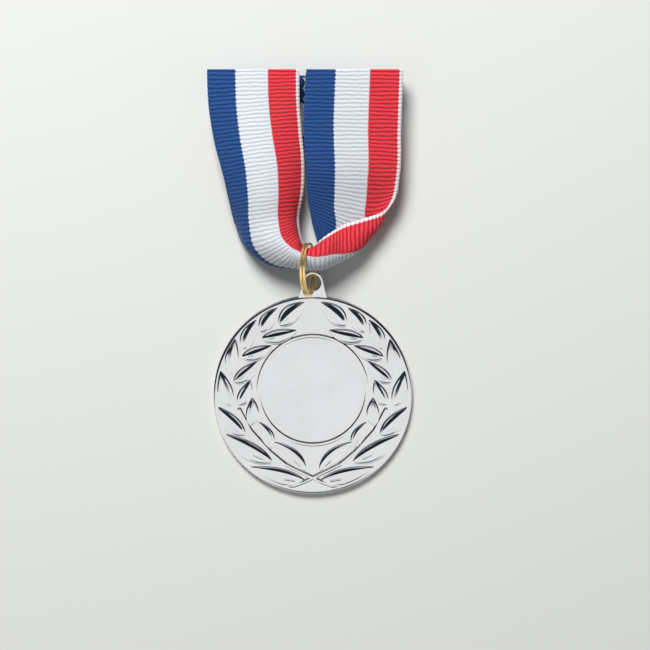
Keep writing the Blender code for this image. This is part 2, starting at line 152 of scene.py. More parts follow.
# The ribbon: its weave, the turn under each limb's top, the crease at the corner, and the
# flat layers below, between the X of their left and right ends.
RIBBON_WIDTH = 23.4
RIBBON_THICKNESS = 0.36
RIBBON_COLUMNS = 49
DENSE_SAMPLES = 121
RIB_PITCH = 1.0
RIB_HEIGHT = 0.14
RIB_ROWS = 6
RIB_FADE_ROWS = 12.0
TOP_Y = 80.8
TURN_RADIUS = 0.45
TURN_STEPS = 6
LAYER_STEPS = 3
CREASE_RADIUS = 0.225
CROSSING_HEIGHT = 0.2
CREASE_STEPS = 9
CREASE_CLEARANCE = 0.4
LEFT_LAYERS = 15
LEFT_ENDS = (-22.3, -3.3)
RIGHT_LAYERS = 14
RIGHT_ENDS = (-1.3, 21.8)
RIGHT_SKEW = 0.035
LAYER_UNEVENNESS = 0.35
SELVEDGE_LOOP = 0.14
SELVEDGE_WIDTH = 0.62
SELVEDGE_DROP = 0.25

# The seam's stitches.
SEAM_X = -1.95
SEAM_HALF_GAP = 0.06
SEAM_MARGIN = 1.0
STITCHES = 17
STITCH_HALF_WIDTH = 0.35
STITCH_LIFT = 0.1
STITCH_DIP = 0.12
STITCH_ARCH = 0.06
THREAD_RADIUS = 0.13
THREAD_SIDES = 10

# Colours, linear.
BLUE = (0.030, 0.095, 0.30, 1.0)
WHITE = (0.79, 0.825, 0.88, 1.0)
RED = (0.86, 0.060, 0.080, 1.0)
SELVEDGE = (0.88, 0.86, 0.88, 1.0)
# Painted shade for the hollows between ribs: darker copies of the stripe colours, mixed in where
# the ribs dip.
BLUE_VALLEY_SHADE = (0.008, 0.022, 0.075, 1.0)
WHITE_VALLEY_SHADE = (0.42, 0.45, 0.50, 1.0)
RED_VALLEY_SHADE = (0.20, 0.010, 0.016, 1.0)
SELVEDGE_VALLEY_SHADE = (0.62, 0.50, 0.52, 1.0)
NICKEL = (0.81, 0.81, 0.82, 1.0)
GILT = (0.97, 0.71, 0.31, 1.0)
# The thread's grey is painted shade in the grooves of its twist. The thread's own colour is the
# pale one.
THREAD_GROOVE_SHADE = (0.55, 0.56, 0.6, 1.0)
THREAD_LIGHT = (0.85, 0.86, 0.88, 1.0)
FLOOR_COLOUR = (0.80, 0.815, 0.785, 1.0)

# The stripes' borders, as shares of the ribbon's width; each border is a short blend.
BLUE_END = 0.308
WHITE_END = 0.664
RED_END = 0.974
BORDER_BLEND = 0.008
SELVEDGE_BLEND = 0.006

# Stage. Lights are placed in metres, with their power in watts.
FLOOR_HALF_SIDE = 600.0
FLOOR_HEIGHT = -0.02
KEY_PLACE = (-0.20, 0.61, 0.74)
KEY_AIM = (0.0, 0.03, 0.0)
KEY_SIZE = 0.40
KEY_POWER = 10.6
FILL_PLACE = (-0.5, -0.3, 0.9)
FILL_AIM = (0.0, 0.02, 0.0)
FILL_SIZE = 0.7
FILL_POWER = 0.4
DIFFUSE_SKY = 0.17

# The world's grey: about 0.2 is low in front of the medal, 0.5 is straight overhead, and 1 is
# low behind the ribbon.
SKY_STOPS = (
    (0.0, (0.10, 0.10, 0.11, 1.0)),
    (0.21, (0.20, 0.21, 0.22, 1.0)),
    (0.26, (0.92, 0.93, 0.93, 1.0)),
    (0.50, (0.93, 0.94, 0.94, 1.0)),
    (0.59, (0.86, 0.87, 0.87, 1.0)),
    (0.65, (0.022, 0.026, 0.032, 1.0)),
    (0.87, (0.016, 0.018, 0.022, 1.0)),
    (1.0, (0.40, 0.41, 0.42, 1.0)),
)

# Camera: straight over the medal and its ribbon.
VIEW_CENTRE = (3.1, 17.5)
VIEW_WIDTH = 163.4
LENS = 150.0
SENSOR = 36.0


# ---------------------------------------------------------------- mesh helpers


def piece(name, points, faces, smooth=True):
    """A mesh object from points in millimetres."""
    mesh = bpy.data.meshes.new(name)
    mesh.from_pydata((np.asarray(points, dtype=float) * MM).tolist(), [], faces)
    mesh.update()
    made = bpy.data.objects.new(name, mesh)
    bpy.context.scene.collection.objects.link(made)
    if smooth:
        mesh.shade_smooth()
    return made


def grid_faces(rows, columns, first=0, wrap=False, flip=False):
    """Quads over a grid of points, closed round if it wraps."""
    faces = []
    spans = columns if wrap else columns - 1
    for row in range(rows - 1):
        low = first + row * columns
        for column in range(spans):
            after = (column + 1) % columns
            quad = (low + column, low + after, low + columns + after, low + columns + column)
            faces.append(tuple(reversed(quad)) if flip else quad)
    return faces


def smooth_step(share):
    """A smooth ramp from 0 to 1."""
    share = np.clip(share, 0.0, 1.0)
    return share * share * (3.0 - 2.0 * share)


# ---------------------------------------------------------------- materials


def new_material(name, **sockets):
    """A Principled material with plain values on its own sockets."""
    made = bpy.data.materials.new(name)
    made.use_nodes = True
    shader = made.node_tree.nodes["Principled BSDF"]
    for key, value in sockets.items():
        shader.inputs[key.replace("_", " ")].default_value = value
    return made, made.node_tree, shader


def node(tree, kind, inputs=None, **settings):
    """One shader node; inputs are values or other nodes' outputs."""
    made = tree.nodes.new(kind)
    for key, value in settings.items():
        setattr(made, key, value)
    for key, value in (inputs or {}).items():
        if isinstance(value, bpy.types.NodeSocket):
            tree.links.new(value, made.inputs[key])
        else:
            made.inputs[key].default_value = value
    return made


def maths(tree, operation, first, second=0.0, third=0.0):
    """A Math node's output."""
    made = node(tree, "ShaderNodeMath", {0: first, 1: second, 2: third}, operation=operation)
    return made.outputs[0]


def noise(tree, place, scale, detail):
    """A noise texture's grey output."""
    made = node(tree, "ShaderNodeTexNoise", {"Vector": place, "Scale": scale, "Detail": detail})
    return made.outputs["Fac"]


def bump(tree, height, strength, distance, normal=None):
    """A bump's normal, over another normal if one is given."""
    inputs = {"Height": height, "Strength": strength, "Distance": distance}
    if normal is not None:
        inputs["Normal"] = normal
    return node(tree, "ShaderNodeBump", inputs).outputs[0]


def ramp(tree, value, stops):
    """A colour ramp's output."""
    made = node(tree, "ShaderNodeValToRGB", {0: value})
    elements = made.color_ramp.elements
    while len(elements) < len(stops):
        elements.new(0.5)
    for element, (place, colour) in zip(elements, stops):
        element.position = place
        element.color = colour
    return made.outputs[0]


def plated_metal(name, colour, roughness, wave_scale, wave_strength, metallic=1.0):
    """Bright plate: slight waves in the surface and fine pores."""
    made, tree, shader = new_material(name, Metallic=metallic)
    place = node(tree, "ShaderNodeTexCoord").outputs["Object"]
    waves = noise(tree, place, wave_scale, 2.0)
    pores = noise(tree, place, 9000.0, 3.0)
    rough = maths(tree, "MULTIPLY_ADD", waves, 0.06, roughness - 0.05)
    rough = maths(tree, "MULTIPLY_ADD", pores, 0.05, rough)
    tree.links.new(rough, shader.inputs["Roughness"])
    dark = tuple(0.95 * part for part in colour[:3]) + (1.0,)
    tint = ramp(tree, waves, ((0.35, dark), (0.65, colour)))
    tree.links.new(tint, shader.inputs["Base Color"])
    wavy = bump(tree, waves, wave_strength, 0.0004)
    tree.links.new(bump(tree, pores, 0.08, 0.00002, wavy), shader.inputs["Normal"])
    return made


def stripes(tree, place, blue, white, red, selvedge):
    """The ribbon's stripes from its blue edge to its red edge."""
    return ramp(tree, place, (
        (0.0, blue),
        (BLUE_END, blue),
        (BLUE_END + BORDER_BLEND, white),
        (WHITE_END, white),
        (WHITE_END + BORDER_BLEND, red),
        (RED_END, red),
        (RED_END + SELVEDGE_BLEND, selvedge),
    ))


def grosgrain_material():
    """Ribbed weave in three stripes with a white selvedge on the red edge, and painted shade in
    the ribs' valleys: darker copies of the stripe colours.

    The UV map holds the share across the ribbon and the count of ribs along it, which
    sways with them.
    """
    made, tree, shader = new_material("grosgrain", Sheen_Weight=0.06, Sheen_Roughness=0.4)
    shader.inputs["Specular IOR Level"].default_value = 0.22
    uv = node(tree, "ShaderNodeUVMap", uv_map="weave").outputs[0]
    split = node(tree, "ShaderNodeSeparateXYZ", {0: uv})
    across, along = split.outputs[0], split.outputs[1]
    rib = maths(tree, "ABSOLUTE", maths(tree, "SINE", maths(tree, "MULTIPLY", along, math.pi)))
    stagger = maths(tree, "MULTIPLY_ADD", rib, 0.011, -0.006)
    place = maths(tree, "ADD", across, stagger)
    place = maths(tree, "MULTIPLY_ADD", noise(tree, uv, 1.7, 2.0), 0.006, place)
    yarn_across = maths(tree, "MULTIPLY", across, 90.0)
    yarn_along = maths(tree, "MULTIPLY", along, 2.2)
    yarn_place = node(tree, "ShaderNodeCombineXYZ", {0: yarn_across, 1: yarn_along}).outputs[0]
    yarn = noise(tree, yarn_place, 1.0, 3.0)
    depth = maths(tree, "POWER", rib, 0.8)
    crest = stripes(tree, place, BLUE, WHITE, RED, SELVEDGE)
    valley_shade = stripes(tree, place, BLUE_VALLEY_SHADE, WHITE_VALLEY_SHADE, RED_VALLEY_SHADE, SELVEDGE_VALLEY_SHADE)
    # Painted shade: the stripes blend towards their darker valley colours where the rib wave dips.
    weave_with_valley_shade = node(tree, "ShaderNodeMix", {0: depth, 6: valley_shade, 7: crest}, data_type="RGBA")
    fleck = maths(tree, "MULTIPLY_ADD", yarn, 0.5, 0.75)
    tint_inputs = {0: weave_with_valley_shade.outputs[2], "Scale": fleck}
    tinted = node(tree, "ShaderNodeVectorMath", tint_inputs, operation="SCALE")
    tree.links.new(tinted.outputs[0], shader.inputs["Base Color"])
    rough = maths(tree, "MULTIPLY_ADD", yarn, 0.25, 0.55)
    tree.links.new(rough, shader.inputs["Roughness"])
    height = maths(tree, "MULTIPLY_ADD", yarn, 0.35, depth)
    tree.links.new(bump(tree, height, 0.35, 0.00012), shader.inputs["Normal"])
    return made


def thread_material():
    """Twisted white sewing thread, with painted shade in the grooves of its twist."""
    made, tree, shader = new_material("sewing_thread", Roughness=0.6, Sheen_Weight=0.3)
    place = node(tree, "ShaderNodeTexCoord").outputs["Object"]
    wave = node(tree, "ShaderNodeTexWave", {"Vector": place, "Scale": 2200.0, "Distortion": 1.0})
    twist = wave.outputs["Fac"]
    # Painted shade: the colour darkens where the twist's bump dips.
    colour = ramp(tree, twist, ((0.0, THREAD_GROOVE_SHADE), (1.0, THREAD_LIGHT)))
    tree.links.new(colour, shader.inputs["Base Color"])
    tree.links.new(bump(tree, twist, 0.5, 0.00003), shader.inputs["Normal"])
    return made


# ---------------------------------------------------------------- the medal's face


def polar(degrees, radius, side):
    """A point on the face, its angle counted from the foot of the disc."""
    angle = math.radians(degrees)
    return np.array((side * radius * math.sin(angle), -radius * math.cos(angle)))


def leaf_relief(points, leaf, bow, rim, side):
    """One leaf's height over the field: a groove beside it, a wall, a thin rim, and two faces.

    The midrib between the faces is near the upper edge on the lowest leaves. It is in the
    middle further up, where the rim is wider too.
    """
    base_angle, base_radius, tip_angle, tip_radius, width = leaf
    base = polar(base_angle, base_radius, side)
    chord = polar(tip_angle, tip_radius, side) - base
    length = np.linalg.norm(chord)
    along = chord / length
    across = np.array((-along[1], along[0]))
    place = points - base
    share = np.clip(place @ along / length, 0.0, 1.0)
    middle = bow * side * LEAF_BOW * 4.0 * share * (1.0 - share)
    half = 0.5 * width * np.sin(math.pi * share ** 0.82) ** 0.85 + 1e-6
    offset = (place @ across - middle) / half
    upward = offset * (1.0 if across[1] > 0.0 else -1.0)
    depth = (1.0 - np.abs(offset)) * half
    fullness = np.clip(half / FULL_HALF_WIDTH, 0.35, 1.0)
    wall = LEAF_WALL_RISE * fullness * smooth_step(depth / (LEAF_WALL_WIDTH * fullness))
    climb = min(1.0, base_angle / FULL_RISE_ANGLE)
    midrib = LOW_LEAF_MIDRIB + (HIGH_LEAF_MIDRIB - LOW_LEAF_MIDRIB) * climb
    rim = LOW_LEAF_RIM + (rim - LOW_LEAF_RIM) * climb
    upper_run = half * max(1.0 - midrib - rim, 0.1)
    from_midrib = np.abs(upward - midrib) * half
    lower_run = half * (1.0 + midrib)
    run = np.where(upward > midrib, upper_run, lower_run) + 1e-6
    face = LEAF_FACE_SLOPE * upper_run * np.clip(1.0 - from_midrib / run, 0.0, 1.0)
    vein = VEIN_DEPTH * np.exp(-(((upward - VEIN_PLACE) * half / VEIN_WIDTH) ** 2))
    vein *= (share > VEIN_BEGIN) & (share < VEIN_END)
    groove = -GROOVE_DEPTH * np.exp(-((depth / GROOVE_WIDTH + 1.0) ** 2))
    relief = np.where(depth > 0.0, np.maximum(wall + face - vein, 0.0), groove)
    return np.where((share > 0.0) & (share < 1.0), relief, 0.0)


def line_distance(points, route):
    """The distance from each point to a line through some points."""
    best = np.full(len(points), 1e9)
    for begin, end in zip(route[:-1], route[1:]):
        begin, end = np.array(begin), np.array(end)
        run = end - begin
        share = np.clip(((points - begin) @ run) / (run @ run), 0.0, 1.0)
        best = np.minimum(best, np.linalg.norm(points - begin - share[:, None] * run, axis=1))
    return best


def wreath_relief(points):
    """The height over the field of both branches: stems, leaves, and the grooves beside leaves."""
    raised = np.zeros(len(points))
    sunk = np.zeros(len(points))
    rows_of_leaves = (
        (OUTER_LEAVES, -1.0, OUTER_LEAF_RIM),
        (INNER_LEAVES, 1.0, INNER_LEAF_RIM),
    )
    for side in (-1.0, 1.0):
        stem = [(-side * x, y) for x, y in STEM_POINTS]
        share = np.clip(1.0 - (line_distance(points, stem) / STEM_HALF_WIDTH) ** 2, 0.0, 1.0)
        raised = np.maximum(raised, STEM_RISE * np.sqrt(share))
        for leaves, bow, rim in rows_of_leaves:
            for leaf in leaves:
                relief = leaf_relief(points, leaf, bow, rim, side)
                raised = np.maximum(raised, relief)
                sunk = np.minimum(sunk, relief)
    return np.where(raised > 0.0, raised, sunk)


def face_height(points):
    """The height of the medal's face at points in X and Y."""
    radius = np.linalg.norm(points, axis=1)
    relief = wreath_relief(points) * np.clip((RELIEF_EDGE - radius) / RELIEF_FADE, 0.0, 1.0)
    from_bead = np.hypot(points[:, 0], points[:, 1] - BEAD_CENTRE_Y) - BEAD_RADIUS
    bead = BEAD_RISE * smooth_step((BEAD_HALF_WIDTH - np.abs(from_bead)) / BEAD_WALL)
    sink = CENTRE_SINK * smooth_step((-from_bead - BEAD_HALF_WIDTH) / CENTRE_WALL)
    relief *= from_bead > 0.0
    return FIELD_HEIGHT - sink + np.where(bead > 0.0, np.maximum(relief, bead), relief)


def make_disc(metal):
    """The struck disc with its relief: rings of points round its axis, from face to back."""
    angles = np.arange(FACE_SECTORS) * 2.0 * math.pi / FACE_SECTORS
    circle = np.stack((np.cos(angles), np.sin(angles)), axis=1)
    coarse = np.arange(COARSE_FROM, FINE_FROM, COARSE_STEP)
    fine = np.arange(FINE_FROM, FACE_EDGE, FINE_STEP)
    rows = []
    for radius in np.concatenate((coarse, fine)):
        flat = circle * radius
        rows.append(np.column_stack((flat, face_height(flat))))
    for radius, height in RIM_AND_BACK:
        rows.append(np.column_stack((circle * radius, np.full(FACE_SECTORS, height))))
    face_middle = np.array([(0.0, 0.0, FIELD_HEIGHT - CENTRE_SINK)])
    back_middle = np.array([(0.0, 0.0, 0.0)])
    points = np.concatenate([face_middle] + rows + [back_middle])
    faces = [(0, 1 + index, 1 + (index + 1) % FACE_SECTORS) for index in range(FACE_SECTORS)]
    faces += grid_faces(len(rows), FACE_SECTORS, first=1, wrap=True, flip=True)
    last = 1 + (len(rows) - 1) * FACE_SECTORS
    end = len(points) - 1
    for index in range(FACE_SECTORS):
        faces.append((end, last + (index + 1) % FACE_SECTORS, last + index))
    disc = piece("medal", points, faces)
    disc.data.materials.append(metal)
    return disc


def lug_loop(inset):
    """The lug's outline, pulled in by an inset, and its hole, pushed out by it."""
    foot = LUG_FOOT_Y + inset
    outline = []
    for share in np.linspace(0.0, 1.0, LUG_LEG_POINTS):
        spread = (LUG_FOOT_HALF_WIDTH - LUG_ARCH_RADIUS) * (1.0 - share) ** 1.1
        outline.append((-(LUG_ARCH_RADIUS + spread - inset), foot + (LUG_HOLE_Y - foot) * share))
    radius = LUG_ARCH_RADIUS - inset
    for angle in np.linspace(math.pi, 0.0, LUG_ARCH_POINTS)[1:-1]:
        outline.append((radius * math.cos(angle), LUG_HOLE_Y + radius * math.sin(angle)))
    outline += [(-x, y) for x, y in reversed(outline[:LUG_LEG_POINTS])]
    base = np.linspace(outline[-1][0], outline[0][0], LUG_BASE_POINTS)[1:-1]
    outline = np.array(outline + [(x, foot) for x in base])
    hole_centre = np.array((0.0, LUG_HOLE_Y))
    toward = outline - hole_centre
    toward /= np.linalg.norm(toward, axis=1, keepdims=True)
    hole = hole_centre + toward * (LUG_HOLE_RADIUS + inset)
    return outline, hole


def make_lug(metal):
    """The lug: a flat ring on two legs, with rounded edges.

    Its loops of points run over the top from the outline to the hole, and back underneath.
    """
    loops = []
    inward = np.append(np.linspace(0.0, 1.0, LUG_EDGE_STEPS), 1.1)
    for which, top_side, shares in (
        (0, True, inward),
        (1, True, inward[::-1]),
        (1, False, inward),
        (0, False, inward[::-1]),
    ):
        for share in shares:
            loop = lug_loop(LUG_EDGE_WIDTH * share)[which]
            drop = LUG_EDGE_HEIGHT * max(1.0 - share, 0.0) ** 1.3
            height = LUG_TOP - drop if top_side else LUG_BOTTOM + drop
            loops.append(np.column_stack((loop, np.full(len(loop), height))))
    count = len(loops[0])
    faces = grid_faces(len(loops), count, wrap=True)
    last = (len(loops) - 1) * count
    for index in range(count):
        after = (index + 1) % count
        faces.append((last + index, last + after, after, index))
    lug = piece("medal_lug", np.concatenate(loops), faces)
    lug.data.materials.append(metal)
    return lug


# ---------------------------------------------------------------- the split ring


def make_split_ring(metal):
    """Two turns of wire, a step between them, and rounded wire ends."""
    forward = np.array((0.0, 1.0, 0.0))
    upward = np.array((-math.sin(RING_LEAN), 0.0, math.cos(RING_LEAN)))
    axis = np.array((math.cos(RING_LEAN), 0.0, math.sin(RING_LEAN)))
    turns = np.linspace(WIRE_END_ANGLE, 4.0 * math.pi - WIRE_END_ANGLE, RING_STEPS)
    step_from = 2.0 * math.pi - STEP_HALF_ANGLE
    points = []
    for index, turn in enumerate(turns):
        stepped = smooth_step((turn - step_from) / (2.0 * STEP_HALF_ANGLE))
        angle = STEP_PLACE + turn
        outward = forward * math.cos(angle) + upward * math.sin(angle)
        middle = RING_CENTRE + outward * RING_WIRE_LINE + axis * TURN_PITCH * (stepped - 0.5)
        from_end = min(index, RING_STEPS - 1 - index) + WIRE_TIP
        girth = WIRE_RADIUS * math.sqrt(min(1.0, from_end / WIRE_END_STEPS))
        for around in np.linspace(0.0, 2.0 * math.pi, WIRE_SIDES, endpoint=False):
            points.append(middle + girth * (outward * math.cos(around) + axis * math.sin(around)))
    faces = grid_faces(RING_STEPS, WIRE_SIDES, wrap=True)
    faces.append(tuple(range(WIRE_SIDES)))
    faces.append(tuple(range(RING_STEPS * WIRE_SIDES - 1, (RING_STEPS - 1) * WIRE_SIDES - 1, -1)))
    ring = piece("gilt_ring", points, faces)
    ring.data.materials.append(metal)
    return ring


# ---------------------------------------------------------------- the ribbon's surface


def arched(blue_edge, red_edge, arch):
    """Seven points across the ribbon, from its blue edge to its red edge."""
    shares = np.linspace(0.0, 1.0, 7)[:, None]
    line = np.array(blue_edge) * (1.0 - shares) + np.array(red_edge) * shares
    line[:, 2] += arch * 4.0 * shares[:, 0] * (1.0 - shares[:, 0])
    return line


def ribbon_stations():
    """Sections across the ribbon, as in the CAD: left limb, bend through the ring, right limb."""
    return np.array((
        arched((-26.3, 80.8, 7.2), (-3.5, 80.8, 7.2), 0.0),
        arched((-25.8, 72.0, 7.1), (-3.5, 73.4, 7.1), 1.3),
        arched((-24.4, 63.4, 6.8), (-3.0, 65.5, 6.9), 2.9),
        arched((-22.1, 54.6, 6.3), (-2.4, 57.4, 6.8), 4.4),
        arched((-20.7, 48.3, 4.9), (-2.7, 50.6, 6.4), 5.4),
        ((-19.2, 42.6, 2.8), (-17.6, 42.6, 6.2), (-14.8, 42.8, 8.9), (-11.4, 43.2, 10.2),
         (-8.0, 43.8, 9.9), (-5.2, 44.4, 8.0), (-3.9, 44.8, 5.2)),
        ((-16.6, 37.0, 1.6), (-16.0, 36.6, 5.4), (-13.6, 36.8, 8.6), (-10.7, 37.8, 10.6),
         (-7.5, 39.2, 10.8), (-4.9, 40.8, 8.6), (-3.7, 41.7, 5.2)),
        ((-10.8, 34.9, 1.2), (-11.6, 33.0, 4.2), (-10.2, 33.3, 7.6), (-7.6, 34.6, 10.2),
         (-5.0, 36.6, 11.3), (-3.6, 38.4, 8.5), (-3.2, 39.0, 4.9)),
        ((-0.3, 34.6, 3.4), (-0.5, 32.2, 2.8), (-0.9, 31.4, 5.8), (-1.5, 31.8, 9.2),
         (-2.0, 34.6, 11.2), (-1.4, 36.3, 8.2), (-0.7, 36.2, 5.0)),
        ((2.2, 35.3, 1.9), (2.4, 33.0, 2.4), (2.8, 31.7, 5.4), (2.9, 31.9, 9.0),
         (3.0, 34.5, 10.7), (3.3, 37.4, 9.9), (3.4, 39.3, 7.0)),
        ((0.6, 40.6, 2.2), (2.6, 37.6, 2.0), (4.6, 35.0, 2.4), (6.9, 33.4, 5.0),
         (7.8, 34.9, 8.0), (7.9, 38.6, 7.6), (8.0, 42.3, 5.8)),
        ((0.0, 42.9, 2.8), (3.6, 40.4, 2.4), (7.2, 38.2, 2.0), (10.8, 36.6, 2.9),
         (12.4, 37.0, 5.6), (12.8, 40.2, 6.8), (12.9, 43.9, 5.6)),
        ((-0.6, 46.2, 3.6), (3.4, 44.4, 3.3), (7.3, 42.8, 2.9), (11.2, 41.5, 2.6),
         (15.0, 41.2, 3.0), (17.0, 42.6, 5.2), (17.4, 45.5, 6.2)),
        ((-1.2, 49.9, 4.8), (2.3, 49.0, 4.6), (5.9, 48.3, 4.4), (9.6, 47.6, 4.2),
         (13.2, 47.0, 4.1), (17.0, 47.2, 4.6), (20.1, 48.4, 5.9)),
        arched((-1.5, 55.8, 6.5), (21.6, 55.2, 6.6), 0.0),
        arched((-2.1, 66.5, 7.1), (21.9, 66.2, 7.1), 0.2),
        arched((-1.6, 80.8, 7.2), (22.4, 80.8, 7.2), 0.0),
    ))


def through(knots, values, places):
    """A smooth curve through values given at knots, read at some places."""
    slopes = np.diff(values, axis=0) / np.diff(knots).reshape(-1, *([1] * (values.ndim - 1)))
    tangents = np.empty_like(values)
    tangents[0], tangents[-1] = slopes[0], slopes[-1]
    for index in range(1, len(knots) - 1):
        before = knots[index] - knots[index - 1]
        after = knots[index + 1] - knots[index]
        tangents[index] = (after * slopes[index - 1] + before * slopes[index]) / (before + after)
    read = []
    for place in places:
        span = min(max(int(np.searchsorted(knots, place, side="right")) - 1, 0), len(knots) - 2)
        width = knots[span + 1] - knots[span]
        share = (place - knots[span]) / width
        square, cube = share ** 2, share ** 3
        read.append(
            (2 * cube - 3 * square + 1) * values[span]
            + (cube - 2 * square + share) * width * tangents[span]
            + (3 * square - 2 * cube) * values[span + 1]
            + (cube - square) * width * tangents[span + 1]
        )
    return np.array(read)


def even_section(section, columns):
    """Points at even distances along one section across the ribbon."""
    knots = np.arange(len(section), dtype=float)
    dense = through(knots, section, np.linspace(0.0, knots[-1], DENSE_SAMPLES))
    steps = np.linalg.norm(np.diff(dense, axis=0), axis=1)
    distance = np.concatenate(([0.0], np.cumsum(steps)))
    wanted = np.linspace(0.0, distance[-1], columns)
    return np.stack([np.interp(wanted, distance, dense[:, axis]) for axis in range(3)], axis=1)


def shown_rows():
    """The ribbon that shows, in fine rows."""
    stations = ribbon_stations()
    gaps = np.linalg.norm(np.diff(stations, axis=0), axis=2).mean(axis=1)
    knots = np.concatenate(([0.0], np.cumsum(gaps)))
    count = int(round(knots[-1] / RIB_PITCH * RIB_ROWS)) + 1
    rows = through(knots, stations, np.linspace(0.0, knots[-1], count))
    return [even_section(row, RIBBON_COLUMNS) for row in rows]


def turned_under(top_row):
    """The limb's top turned under: the rows of the half turn."""
    rows = []
    for angle in np.linspace(0.0, math.pi, TURN_STEPS + 1)[1:]:
        shift = (0.0, TURN_RADIUS * math.sin(angle), TURN_RADIUS * (math.cos(angle) - 1.0))
        rows.append(top_row + shift)
    return rows


def corner_crease(row, skew):
    """From under the limb's top, down to a crease at 45 degrees, and over it to run along +X."""
    reach = row[:, 0] - row[0, 0] + CREASE_CLEARANCE
    rows = []
    for share in np.linspace(0.0, 1.0, CREASE_STEPS + 1)[1:]:
        drop = reach * share
        rows.append(row + np.column_stack((-skew * drop, -drop, np.zeros(len(row)))))
    crease = rows[-1]
    outward = np.array((-math.sqrt(0.5), -math.sqrt(0.5), 0.0))
    for angle in np.linspace(0.0, math.pi, TURN_STEPS + 1)[1:]:
        drop = np.array((0.0, 0.0, CREASE_RADIUS * (math.cos(angle) - 1.0)))
        rows.append(crease + outward * CREASE_RADIUS * math.sin(angle) + drop)
    return rows


def zigzag(row, ends, layers, last_end):
    """Flat layers to and fro along X, from a row at the top down to the strip on the floor."""
    pitch = (row[0, 2] - CROSSING_HEIGHT) / (layers - 1)
    radius = 0.5 * pitch
    rows = []
    current = row
    for layer in range(layers):
        rightward = layer % 2 == 0
        sign = 1.0 if rightward else -1.0
        bottom = layer == layers - 1
        uneven = LAYER_UNEVENNESS * abs(math.sin(2.3 * layer + layers))
        target = current.copy()
        turn = ends[1 if rightward else 0] - sign * (radius + uneven)
        target[:, 0] = last_end if bottom else turn
        for share in np.linspace(0.0, 1.0, LAYER_STEPS + 1)[1:]:
            rows.append(current * (1.0 - share) + target * share)
        if not bottom:
            for angle in np.linspace(0.0, math.pi, TURN_STEPS + 1)[1:]:
                shift = (sign * radius * math.sin(angle), 0.0, radius * (math.cos(angle) - 1.0))
                rows.append(target + shift)
        current = rows[-1]
    return rows


def stored_rows(top_row, skew, ends, layers, last_end):
    """Everything from one limb's top to the seam on the floor."""
    rows = turned_under(top_row)
    rows += corner_crease(rows[-1], skew)
    rows += zigzag(rows[-1], ends, layers, last_end)
    return rows


def ribbon_path():
    """All the ribbon's rows, from the seam round to the seam, and which of them show."""
    shown = shown_rows()
    left = stored_rows(shown[0], 0.0, LEFT_ENDS, LEFT_LAYERS, SEAM_X - SEAM_HALF_GAP)
    right = stored_rows(shown[-1], RIGHT_SKEW, RIGHT_ENDS, RIGHT_LAYERS, SEAM_X + SEAM_HALF_GAP)
    rows = np.array(list(reversed(left)) + shown + right)
    return rows, len(left), len(left) + len(shown)


def rib_sway(ribs, columns):
    """How far each rib wanders along the ribbon at each column, in ribs."""
    across = np.linspace(0.0, 2.0 * math.pi, columns)[None, :]
    count = ribs[:, None]
    slow = 0.07 * np.sin(2.0 * across + 0.7 * count) + 0.05 * np.sin(6.0 * across - 1.7 * count)
    return slow + 0.035 * np.sin(11.0 * across + 2.9 * count + np.sin(5.0 * across))


def flare_selvedge(rows):
    """Stand the looped edge out level where the ribbon turns down steeply at its red edge."""
    last = rows[:, -1] - rows[:, -2]
    level = last.copy()
    level[:, 2] = np.maximum(level[:, 2], -SELVEDGE_DROP * np.linalg.norm(last[:, :2], axis=1))
    level *= SELVEDGE_WIDTH / np.linalg.norm(level, axis=1, keepdims=True)
    rows[:, -1] = rows[:, -2] + level


def thickened(rows, wave):
    """The ribbon's upper and lower surface, both raised by the ribs' wave, with looped edges."""
    lengthwise = np.gradient(rows, axis=0)
    crosswise = np.gradient(rows, axis=1)
    normals = np.cross(lengthwise, crosswise)
    normals /= np.linalg.norm(normals, axis=2, keepdims=True) + 1e-12
    crosswise /= np.linalg.norm(crosswise, axis=2, keepdims=True)
    lift = 0.5 * RIBBON_THICKNESS - 0.5 * RIB_HEIGHT + RIB_HEIGHT * wave
    upper = rows + normals * lift[:, :, None]
    lower = rows - normals * lift[:, :, None]
    for surface in (upper, lower):
        surface[:, 0] -= crosswise[:, 0] * SELVEDGE_LOOP * wave[:, :1]
        surface[:, -1] += crosswise[:, -1] * SELVEDGE_LOOP * wave[:, -1:]
    return upper, lower


def sheet_faces(count, columns):
    """The faces of two grids of points, one under the other, and of the edge that joins them."""
    under = count * columns
    faces = grid_faces(count, columns) + grid_faces(count, columns, first=under, flip=True)
    border = list(range(columns))
    border += [row * columns + columns - 1 for row in range(1, count)]
    border += [(count - 1) * columns + column for column in range(columns - 2, -1, -1)]
    border += [row * columns for row in range(count - 2, 0, -1)]
    for place, corner in enumerate(border):
        after = border[(place + 1) % len(border)]
        faces.append((after, corner, under + corner, under + after))
    return faces


def map_weave(ribbon, ribs):
    """A UV map with the share across the ribbon and the count of ribs along it."""
    count, columns = ribs.shape
    shares = np.tile(np.linspace(0.0, 1.0, columns), count)
    uv = np.column_stack((np.tile(shares, 2), np.tile(ribs.ravel(), 2)))
    corners = np.empty(len(ribbon.data.loops), dtype=np.int32)
    ribbon.data.loops.foreach_get("vertex_index", corners)
    layer = ribbon.data.uv_layers.new(name="weave")
    layer.uv.foreach_set("vector", uv[corners].astype(np.float32).ravel())


